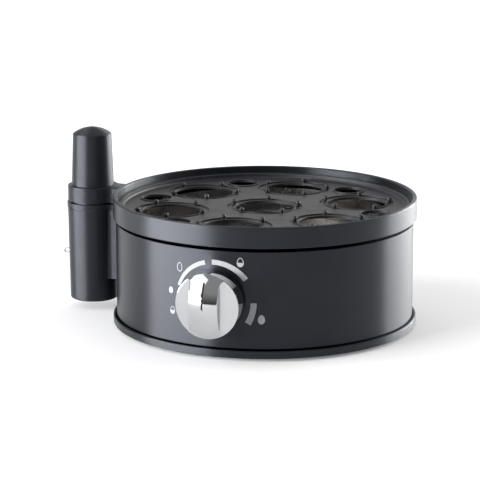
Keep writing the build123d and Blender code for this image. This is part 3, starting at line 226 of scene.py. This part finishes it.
def material(name, tones, rough, texture, relief, wear=None, dust=None, painted_shade_seams=(), **shader):
    """One finish: two tones, gloss that varies, a height texture, worn edges, dust and painted shade in
    seams.

    The texture is an effect and its values, relief is a strength and a depth, wear is a colour, a width
    and an amount, and each painted shade seam is a low and a high end and a radius. The rest goes on the
    shader itself.
    """
    made = bpy.data.materials.new(name)
    made.use_nodes = True
    tree = made.node_tree
    tree.nodes.clear()
    base = node(tree, "ShaderNodeBsdfPrincipled")
    for key, value in shader.items():
        base.inputs[key.replace("_", " ")].default_value = value
    group, settings = texture
    surface = effect(tree, group, **settings)
    tint = mixed(tree, surface["Tone"], rgba(tones[0]), rgba(tones[1]))
    smudge = effect(tree, SMUDGE, Scale=SMUDGE_SCALE)["Value"]
    roughness = span(tree, smudge, low=0.0, high=1.0, to_low=rough[0], to_high=rough[1])
    if wear:
        worn, width, amount = wear
        mask = calc(tree, "MULTIPLY", effect(tree, WEAR, Width=width)["Mask"], amount)
        tint = mixed(tree, mask, tint, rgba(worn))
    if dust:
        mask = calc(tree, "MULTIPLY", effect(tree, DUST)["Mask"], dust)
        tint = mixed(tree, mask, tint, rgba(DUST_TINT))
        roughness = calc(tree, "ADD", roughness, calc(tree, "MULTIPLY", mask, DUST_ROUGH), clamp=True)
    # Painted shade: the seams turn black, rough and metallic, standing in for the shade in the recesses
    # between parts
    if painted_shade_seams:
        painted_shade_masks = [effect(tree, PAINTED_SEAM_SHADE, Low=low, High=high, Reach=reach)["Mask"] for low, high, reach in painted_shade_seams]
        shade = painted_shade_masks[0]
        for mask in painted_shade_masks[1:]:
            shade = calc(tree, "ADD", shade, mask, clamp=True)
        tint = mixed(tree, shade, tint, rgba(PAINTED_SHADE_COLOUR))
        roughness = calc(tree, "ADD", roughness, shade, clamp=True)
        tree.links.new(shade, base.inputs["Metallic"])
    bump = node(
        tree, "ShaderNodeBump", {"Height": surface["Height"], "Strength": relief[0], "Distance": relief[1]}
    )
    tree.links.new(tint, base.inputs["Base Color"])
    tree.links.new(roughness, base.inputs["Roughness"])
    tree.links.new(bump.outputs[0], base.inputs["Normal"])
    node(tree, "ShaderNodeOutputMaterial", {"Surface": base.outputs[0]})
    return made


# Seams under the collar and above the base flange, where shade is painted in as black: lowest and highest
# point, outer radius
PAINTED_SHADE_BANDS = ((0.0600, 0.0626, 0.0848), (0.0056, 0.0068, 0.0859))

# Gloss of the black outer pieces: a cool tint, spread up and down rather than round the drum
COOL = (0.84, 0.89, 1.0, 1.0)
UPRIGHT = 0.25

PAINT = material(
    "satin_black_paint",
    tones=((0.0036, 0.0039, 0.0056), (0.0052, 0.0056, 0.0076)), rough=(0.36, 0.385),
    texture=(GRAIN, {"Scale": 1500.0}), relief=(0.06, 0.0002),
    Specular_IOR_Level=0.45, Specular_Tint=COOL, Anisotropic=0.92, Anisotropic_Rotation=UPRIGHT,
)
# The collar carries painted shade in the seams under it and above the base flange
COLLAR = material(
    "satin_black_moulding",
    tones=((0.0042, 0.0046, 0.0064), (0.006, 0.0064, 0.0086)), rough=(0.38, 0.44),
    texture=(GRAIN, {"Scale": 2600.0}), relief=(0.08, 0.0002),
    wear=((0.07, 0.07, 0.075), 0.0005, 0.3), dust=0.05, painted_shade_seams=PAINTED_SHADE_BANDS,
    Specular_IOR_Level=0.5, Specular_Tint=COOL, Anisotropic=0.9, Anisotropic_Rotation=UPRIGHT,
)
SIDE = material(
    "fine_grain_black_moulding",
    tones=((0.0052, 0.0056, 0.0074), (0.0072, 0.0076, 0.0098)), rough=(0.42, 0.48),
    texture=(GRAIN, {"Scale": 3600.0}), relief=(0.14, 0.0002),
    wear=((0.08, 0.08, 0.085), 0.0005, 0.35), dust=0.05,
    Specular_IOR_Level=0.42, Specular_Tint=COOL, Anisotropic=0.88, Anisotropic_Rotation=UPRIGHT,
)
TRAY = material(
    "half_gloss_black_coating",
    tones=((0.016, 0.0165, 0.019), (0.022, 0.0225, 0.0255)), rough=(0.45, 0.53),
    texture=(GRAIN, {"Scale": 1100.0, "Tone Scale": 200.0}), relief=(0.025, 0.0002),
    wear=((0.12, 0.12, 0.125), 0.0004, 0.35), Specular_IOR_Level=0.5,
)
PAN = material(
    "spun_steel_pan",
    tones=((0.36, 0.35, 0.335), (0.27, 0.262, 0.25)), rough=(0.22, 0.36),
    texture=(TURNED, {"Rings": 2200.0}), relief=(0.18, 0.0002), dust=0.06, Metallic=1.0,
)
CHROME = material(
    "bright_chrome",
    tones=((0.54, 0.545, 0.555), (0.51, 0.515, 0.525)), rough=(0.05, 0.09),
    texture=(GRAIN, {"Scale": 900.0}), relief=(0.004, 0.0002), Metallic=1.0,
)
RUBBER = material(
    "black_rubber",
    tones=((0.012, 0.012, 0.012), (0.02, 0.02, 0.019)), rough=(0.7, 0.85),
    texture=(GRAIN, {"Scale": 1400.0}), relief=(0.3, 0.0003),
    wear=((0.09, 0.088, 0.085), 0.0008, 0.5), dust=0.2,
)
CORE = material(
    "dull_black_moulding",
    tones=((0.005, 0.005, 0.0054), (0.009, 0.009, 0.0096)), rough=(0.6, 0.72),
    texture=(GRAIN, {"Scale": 2200.0}), relief=(0.2, 0.0002), wear=((0.04, 0.04, 0.04), 0.0003, 0.2),
    Specular_IOR_Level=0.15,
)
NEEDLE = material(
    "polished_steel",
    tones=((0.66, 0.66, 0.66), (0.55, 0.55, 0.56)), rough=(0.12, 0.22),
    texture=(STREAK, {"Scale": 2500.0}), relief=(0.1, 0.0001), Metallic=1.0,
)
WIRE = material(
    "dull_grey_wire",
    tones=((0.3, 0.3, 0.305), (0.22, 0.22, 0.225)), rough=(0.32, 0.45),
    texture=(STREAK, {"Scale": 1800.0}), relief=(0.1, 0.0001), Metallic=1.0,
)
ZINC = material(
    "zinc_plated_steel",
    tones=((0.55, 0.56, 0.58), (0.46, 0.46, 0.45)), rough=(0.28, 0.42),
    texture=(STREAK, {"Scale": 1200.0}), relief=(0.15, 0.0002),
    wear=((0.7, 0.7, 0.7), 0.0004, 0.5), Metallic=1.0,
)
CAST = material(
    "cast_aluminium",
    tones=((0.6, 0.61, 0.62), (0.5, 0.5, 0.51)), rough=(0.4, 0.55),
    texture=(GRAIN, {"Scale": 900.0}), relief=(0.35, 0.0003),
    wear=((0.75, 0.75, 0.75), 0.0006, 0.5), Metallic=1.0,
)
OXIDE = material(
    "heat_darkened_steel",
    tones=((0.3, 0.28, 0.26), (0.2, 0.17, 0.15)), rough=(0.35, 0.5),
    texture=(GRAIN, {"Scale": 1300.0, "Tone Scale": 140.0}), relief=(0.2, 0.0002), Metallic=1.0,
)
BRASS = material(
    "turned_brass",
    tones=((0.66, 0.48, 0.2), (0.52, 0.36, 0.14)), rough=(0.22, 0.34),
    texture=(STREAK, {"Scale": 1800.0}), relief=(0.12, 0.0001),
    wear=((0.8, 0.65, 0.35), 0.0003, 0.5), Metallic=1.0,
)
PHENOLIC = material(
    "brown_phenolic",
    tones=((0.1, 0.045, 0.022), (0.13, 0.06, 0.03)), rough=(0.38, 0.5),
    texture=(GRAIN, {"Scale": 1800.0, "Tone Scale": 300.0}), relief=(0.2, 0.0002),
    wear=((0.25, 0.14, 0.08), 0.0005, 0.5),
)
CERAMIC = material(
    "white_insulator",
    tones=((0.72, 0.71, 0.66), (0.64, 0.62, 0.57)), rough=(0.42, 0.55),
    texture=(GRAIN, {"Scale": 1500.0}), relief=(0.2, 0.0002), wear=((0.5, 0.48, 0.44), 0.0004, 0.3),
)
SLEEVE = material(
    "drawn_aluminium_can",
    tones=((0.6, 0.59, 0.55), (0.52, 0.51, 0.48)), rough=(0.25, 0.36),
    texture=(STREAK, {"Scale": 1500.0}), relief=(0.12, 0.0001), Metallic=1.0,
)
BOARD = material(
    "green_board",
    tones=((0.02, 0.11, 0.045), (0.03, 0.15, 0.06)), rough=(0.3, 0.42),
    texture=(GRAIN, {"Scale": 1500.0, "Tone Scale": 500.0}), relief=(0.12, 0.0002),
    wear=((0.35, 0.33, 0.2), 0.0004, 0.4),
)
PART_BLACK = material(
    "black_component",
    tones=((0.015, 0.015, 0.017), (0.022, 0.022, 0.024)), rough=(0.35, 0.48),
    texture=(GRAIN, {"Scale": 2400.0}), relief=(0.18, 0.0002), wear=((0.08, 0.08, 0.08), 0.0004, 0.3),
)
LEAD_BROWN = material(
    "brown_insulation",
    tones=((0.11, 0.045, 0.02), (0.14, 0.06, 0.028)), rough=(0.4, 0.52),
    texture=(GRAIN, {"Scale": 1600.0}), relief=(0.15, 0.0002),
)
LEAD_BLUE = material(
    "blue_insulation",
    tones=((0.02, 0.06, 0.26), (0.03, 0.08, 0.32)), rough=(0.4, 0.52),
    texture=(GRAIN, {"Scale": 1600.0}), relief=(0.15, 0.0002),
)
INK = material(
    "pale_grey_ink",
    tones=((0.3, 0.305, 0.32), (0.26, 0.265, 0.28)), rough=(0.45, 0.6),
    texture=(GRAIN, {"Scale": 3000.0, "Tone Scale": 700.0}), relief=(0.1, 0.0001),
)

FINISH = {
    PAINT: ["outer_shell"],
    COLLAR: ["top_collar", "base_pan", "cord_gland", "gland_nut"],
    SIDE: ["piercer_holster", "holder_ring", "piercer_grip", "needle_carrier"],
    TRAY: ["egg_tray"],
    PAN: ["water_pan"],
    CHROME: ["knob"],
    RUBBER: ["foot_ring", "pan_seal"],
    CORE: ["knob_core"],
    NEEDLE: ["piercer_needle"],
    WIRE: ["holster_eye"],
    ZINC: [
        "base_screws", "pan_nuts", "element_tabs", "thermostat_strap", "strap_screws", "regulator_bracket",
        "bracket_screws", "regulator_nut", "board_screws", "ring_screw", "web_screws",
    ],
    CAST: ["heat_spreader"],
    OXIDE: ["heating_element"],
    BRASS: ["regulator_shaft"],
    PHENOLIC: ["thermostat", "regulator_case", "regulator_cover"],
    CERAMIC: ["fuse_holder", "terminal_block", "board_header"],
    SLEEVE: ["thermal_fuse", "capacitor"],
    BOARD: ["control_board"],
    PART_BLACK: ["relay", "buzzer"],
    LEAD_BROWN: ["live_lead"],
    LEAD_BLUE: ["neutral_lead"],
}
for finish, names in FINISH.items():
    for name in names:
        mesh = nodes[name].data
        mesh.materials.clear()
        mesh.materials.append(finish)


def new_piece(name, mesh, finish):
    """A finished object from a mesh that is being edited."""
    data = bpy.data.meshes.new(name)
    mesh.to_mesh(data)
    mesh.free()
    data.materials.append(finish)
    made = bpy.data.objects.new(name, data)
    bpy.context.scene.collection.objects.link(made)
    return made


# Dial print: three arcs and the egg marks, laid on the drum as thin ink
DIAL_Z = 0.0318
PRINT_PROUD = 0.00006
ARC_OUT = 0.0234
ARC_STEPS = 48
EGG_STEPS = 40
EGG_TAPER = 0.13

# Inner edge of an outlined mark and reach of its fill, as shares of its width and height
LINE_SHARES = (0.78, 0.84)
FILL_SHARES = (0.8, 0.86)


def on_drum(across, up):
    """A point of the flat print, across to the right and up from its centre, on the drum."""
    turn = across / SHELL_R
    radius = SHELL_R + PRINT_PROUD
    return Vector((radius * sin(turn), -radius * cos(turn), DIAL_Z + up))


def clock(radius, degrees):
    """A flat point at an angle clockwise from the top."""
    return radius * sin(radians(degrees)), radius * cos(radians(degrees))


def strip(mesh, outer, inner, closed):
    """Faces between two rows of flat points, wrapped on the drum."""
    rows = [[mesh.verts.new(on_drum(*point)) for point in row] for row in (outer, inner)]
    count = len(outer)
    for k in range(count if closed else count - 1):
        n = (k + 1) % count
        mesh.faces.new((rows[0][k], rows[1][k], rows[1][n], rows[0][n]))


def patch(mesh, outline):
    """A filled outline wrapped on the drum."""
    mesh.faces.new([mesh.verts.new(on_drum(*point)) for point in outline])


def egg(centre, half_width, half_height):
    """Outline of an egg, narrower at the top."""
    points = []
    for k in range(EGG_STEPS):
        turn = 2 * pi * k / EGG_STEPS
        narrow = 1 - EGG_TAPER * cos(turn)
        points.append((centre[0] + half_width * narrow * sin(turn), centre[1] + half_height * cos(turn)))
    return points


def inset(points, centre, shares):
    """An outline drawn in towards its centre by shares of its width and height."""
    wide, tall = shares
    return [(centre[0] + (x - centre[0]) * wide, centre[1] + (y - centre[1]) * tall) for x, y in points]


def lower_part(points, level):
    """An outline cut flat at a level."""
    return [(x, min(y, level)) for x, y in points]


def arc(start, end, first_width, last_width):
    """A printed arc clockwise from the top, whose width changes evenly along it."""

    def draw(mesh):
        outer, inner = [], []
        for k in range(ARC_STEPS + 1):
            angle = start + (end - start) * k / ARC_STEPS
            width = first_width + (last_width - first_width) * k / ARC_STEPS
            outer.append(clock(ARC_OUT, angle))
            inner.append(clock(ARC_OUT - width, angle))
        strip(mesh, outer, inner, closed=False)

    return draw


def outlined_egg(radius, degrees, half_width, half_height, fill=None):
    """An egg mark drawn as a line, filled up to a level in half heights from its middle."""

    def draw(mesh):
        centre = clock(radius, degrees)
        outer = egg(centre, half_width, half_height)
        strip(mesh, outer, inset(outer, centre, LINE_SHARES), closed=True)
        if fill is not None:
            body = inset(outer, centre, FILL_SHARES)
            patch(mesh, lower_part(body, centre[1] + fill * half_height))

    return draw


def full_egg(radius, degrees, half_width, half_height):
    """A solid egg mark."""

    def draw(mesh):
        patch(mesh, egg(clock(radius, degrees), half_width, half_height))

    return draw


def print_piece(name, draw):
    """A piece of print on the drum, with its faces turned outwards."""
    mesh = bmesh.new()
    draw(mesh)
    bmesh.ops.recalc_face_normals(mesh, faces=mesh.faces)
    for face in mesh.faces:
        if face.normal.dot(face.calc_center_median() - Vector((0, 0, DIAL_Z))) < 0:
            face.normal_flip()
    made = new_piece(name, mesh, INK)
    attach(made, "housing")


print_piece("dial_arc_left", arc(start=-72, end=-13.7, first_width=0.0017, last_width=0.0025))
print_piece("dial_arc_right", arc(start=-3.4, end=53, first_width=0.0027, last_width=0.003))
print_piece("dial_arc_lower", arc(start=89, end=120.7, first_width=0.0033, last_width=0.0035))
print_piece("dial_mark_soft", outlined_egg(0.0272, -50.4, half_width=0.0017, half_height=0.0026))
print_piece("dial_mark_small", full_egg(0.0272, -82.4, half_width=0.0014, half_height=0.0019))
print_piece("dial_mark_part", outlined_egg(0.0270, -106.4, half_width=0.0016, half_height=0.0022, fill=0.0))
print_piece("dial_mark_half", outlined_egg(0.0270, 32.6, half_width=0.0019, half_height=0.0026, fill=-0.05))
print_piece("dial_mark_hard", full_egg(0.0274, 108.4, half_width=0.0019, half_height=0.0026))


# Pointer: dark inlay in the knob's groove, from the knob's axis upwards, with its front just below the dome
POINTER_HALF = 0.00047
POINTER_TOP = 0.0139
POINTER_FRONT = 0.0002
POINTER_BACK = 0.00046
POINTER_STEPS = 24


def pointer_inlay():
    mesh = bmesh.new()
    corners = ((POINTER_FRONT, -1), (POINTER_FRONT, 1), (POINTER_BACK, 1), (POINTER_BACK, -1))
    rows = []
    for k in range(POINTER_STEPS + 1):
        up = POINTER_TOP * k / POINTER_STEPS
        row = []
        for depth, side in corners:
            reach = sqrt((DOME_R - depth) ** 2 - up**2)
            row.append(mesh.verts.new((side * POINTER_HALF, DOME_Y - reach, KNOB_Z + up)))
        rows.append(row)
    for low, high in zip(rows, rows[1:]):
        for k in range(len(corners)):
            n = (k + 1) % len(corners)
            mesh.faces.new((low[k], low[n], high[n], high[k]))
    mesh.faces.new(rows[0])
    mesh.faces.new(rows[-1])
    bmesh.ops.recalc_face_normals(mesh, faces=mesh.faces)
    made = new_piece("pointer_inlay", mesh, CORE)
    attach(made, "knob")


pointer_inlay()


# Studio: a pale floor, a surround that is white behind the object, and large soft lamps
FLOOR_REACH = 6.0
FLOOR_COLOUR = (0.84, 0.84, 0.85)

# Lift of the floor, near and far, and where it changes along the view
FLOOR_LIFT, FAR_LIFT = 0.15, 0.6
LIFT_START, LIFT_END = 0.05, 1.3
ALONG_VIEW = (-0.33, 0.944, 0.0)

# Light of the surround: the dim room, the grey ceiling and the white backdrop, and where they meet
ROOM, CEILING, BACKDROP = 0.06, 0.47, 1.0
REAR = (0.34, 0.94, 0.0)
BACKDROP_START, BACKDROP_FULL = -0.25, 0.55
CEILING_START, CEILING_FULL = 0.02, 0.45


def floor_material():
    """A matt pale floor, lifted towards white where it is seen, mirrored or looked at through glass."""
    made = bpy.data.materials.new("pale_floor")
    made.use_nodes = True
    tree = made.node_tree
    tree.nodes.clear()
    path = node(tree, "ShaderNodeLightPath").outputs
    seen = calc(tree, "ADD", path["Is Camera Ray"], path["Is Glossy Ray"], clamp=True)
    seen = calc(tree, "ADD", seen, path["Is Transmission Ray"], clamp=True)
    diffuse = node(tree, "ShaderNodeBsdfDiffuse", {"Color": rgba(FLOOR_COLOUR)})
    place = node(tree, "ShaderNodeNewGeometry").outputs["Position"]
    level = span(tree, dot(tree, place, ALONG_VIEW), LIFT_START, LIFT_END, FLOOR_LIFT, FAR_LIFT)
    lift = node(tree, "ShaderNodeEmission", {"Strength": calc(tree, "MULTIPLY", seen, level)})
    total = node(tree, "ShaderNodeAddShader", {0: diffuse.outputs[0], 1: lift.outputs[0]})
    node(tree, "ShaderNodeOutputMaterial", {"Surface": total.outputs[0]})
    return made


def plain_floor():
    mesh = bmesh.new()
    bmesh.ops.create_grid(mesh, x_segments=1, y_segments=1, size=FLOOR_REACH)
    new_piece("floor", mesh, floor_material())


def surround():
    """A white backdrop behind the object that fades to a dim room with a grey ceiling on the dial's side."""
    world = bpy.data.worlds.new("studio")
    bpy.context.scene.world = world
    world.use_nodes = True
    tree = world.node_tree
    tree.nodes.clear()
    way = node(tree, "ShaderNodeTexCoord").outputs["Generated"]
    back = span(tree, dot(tree, way, REAR), BACKDROP_START, BACKDROP_FULL, ROOM, BACKDROP)
    up = node(tree, "ShaderNodeSeparateXYZ", {0: way}).outputs["Z"]
    above = span(tree, up, CEILING_START, CEILING_FULL, ROOM, CEILING)
    light = node(tree, "ShaderNodeBackground", {"Strength": calc(tree, "MAXIMUM", back, above)})
    node(tree, "ShaderNodeOutputWorld", {"Surface": light.outputs[0]})


def softbox(name, place, aim, width, height, power):
    """A soft rectangular lamp that the camera doesn't see."""
    lamp = bpy.data.lights.new(name, "AREA")
    lamp.shape = "RECTANGLE"
    lamp.size = width
    lamp.size_y = height
    lamp.energy = power
    made = bpy.data.objects.new(name, lamp)
    made.location = place
    made.rotation_euler = (Vector(aim) - Vector(place)).to_track_quat("-Z", "Y").to_euler()
    made.visible_camera = False
    bpy.context.scene.collection.objects.link(made)


plain_floor()
surround()
softbox("lamp_left_low", (-0.94, -0.826, 0.17), aim=(0, 0, 0.14), width=1.26, height=0.32, power=45.0)
softbox("lamp_left_high", (-0.94, -0.826, 1.16), aim=(0, 0, 1.0), width=1.26, height=1.6, power=11.2)
softbox("lamp_right_rear", (0.82, 1.103, 0.215), aim=(0, 0, 0.18), width=1.19, height=0.41, power=29.0)
softbox("lamp_top", (-0.1, 0.35, 1.3), aim=(0, 0, 0.05), width=0.9, height=0.9, power=2.2)

# Camera at the photograph's angle: a long lens in millimetres, a dip and a turn in degrees
LENS, SENSOR = 165.0, 36.0
CAMERA_PLACE = (0.39265, -1.16470, 0.33144)
CAMERA_DIP, CAMERA_TURN = 13.0054, 19.2897

lens = bpy.data.cameras.new("camera")
lens.lens = LENS
lens.sensor_width = SENSOR
camera = bpy.data.objects.new("camera", lens)
camera.location = CAMERA_PLACE
camera.rotation_euler = (radians(90 - CAMERA_DIP), 0, radians(CAMERA_TURN))
bpy.context.scene.collection.objects.link(camera)
bpy.context.scene.camera = camera
bpy.context.scene.view_settings.view_transform = "Standard"
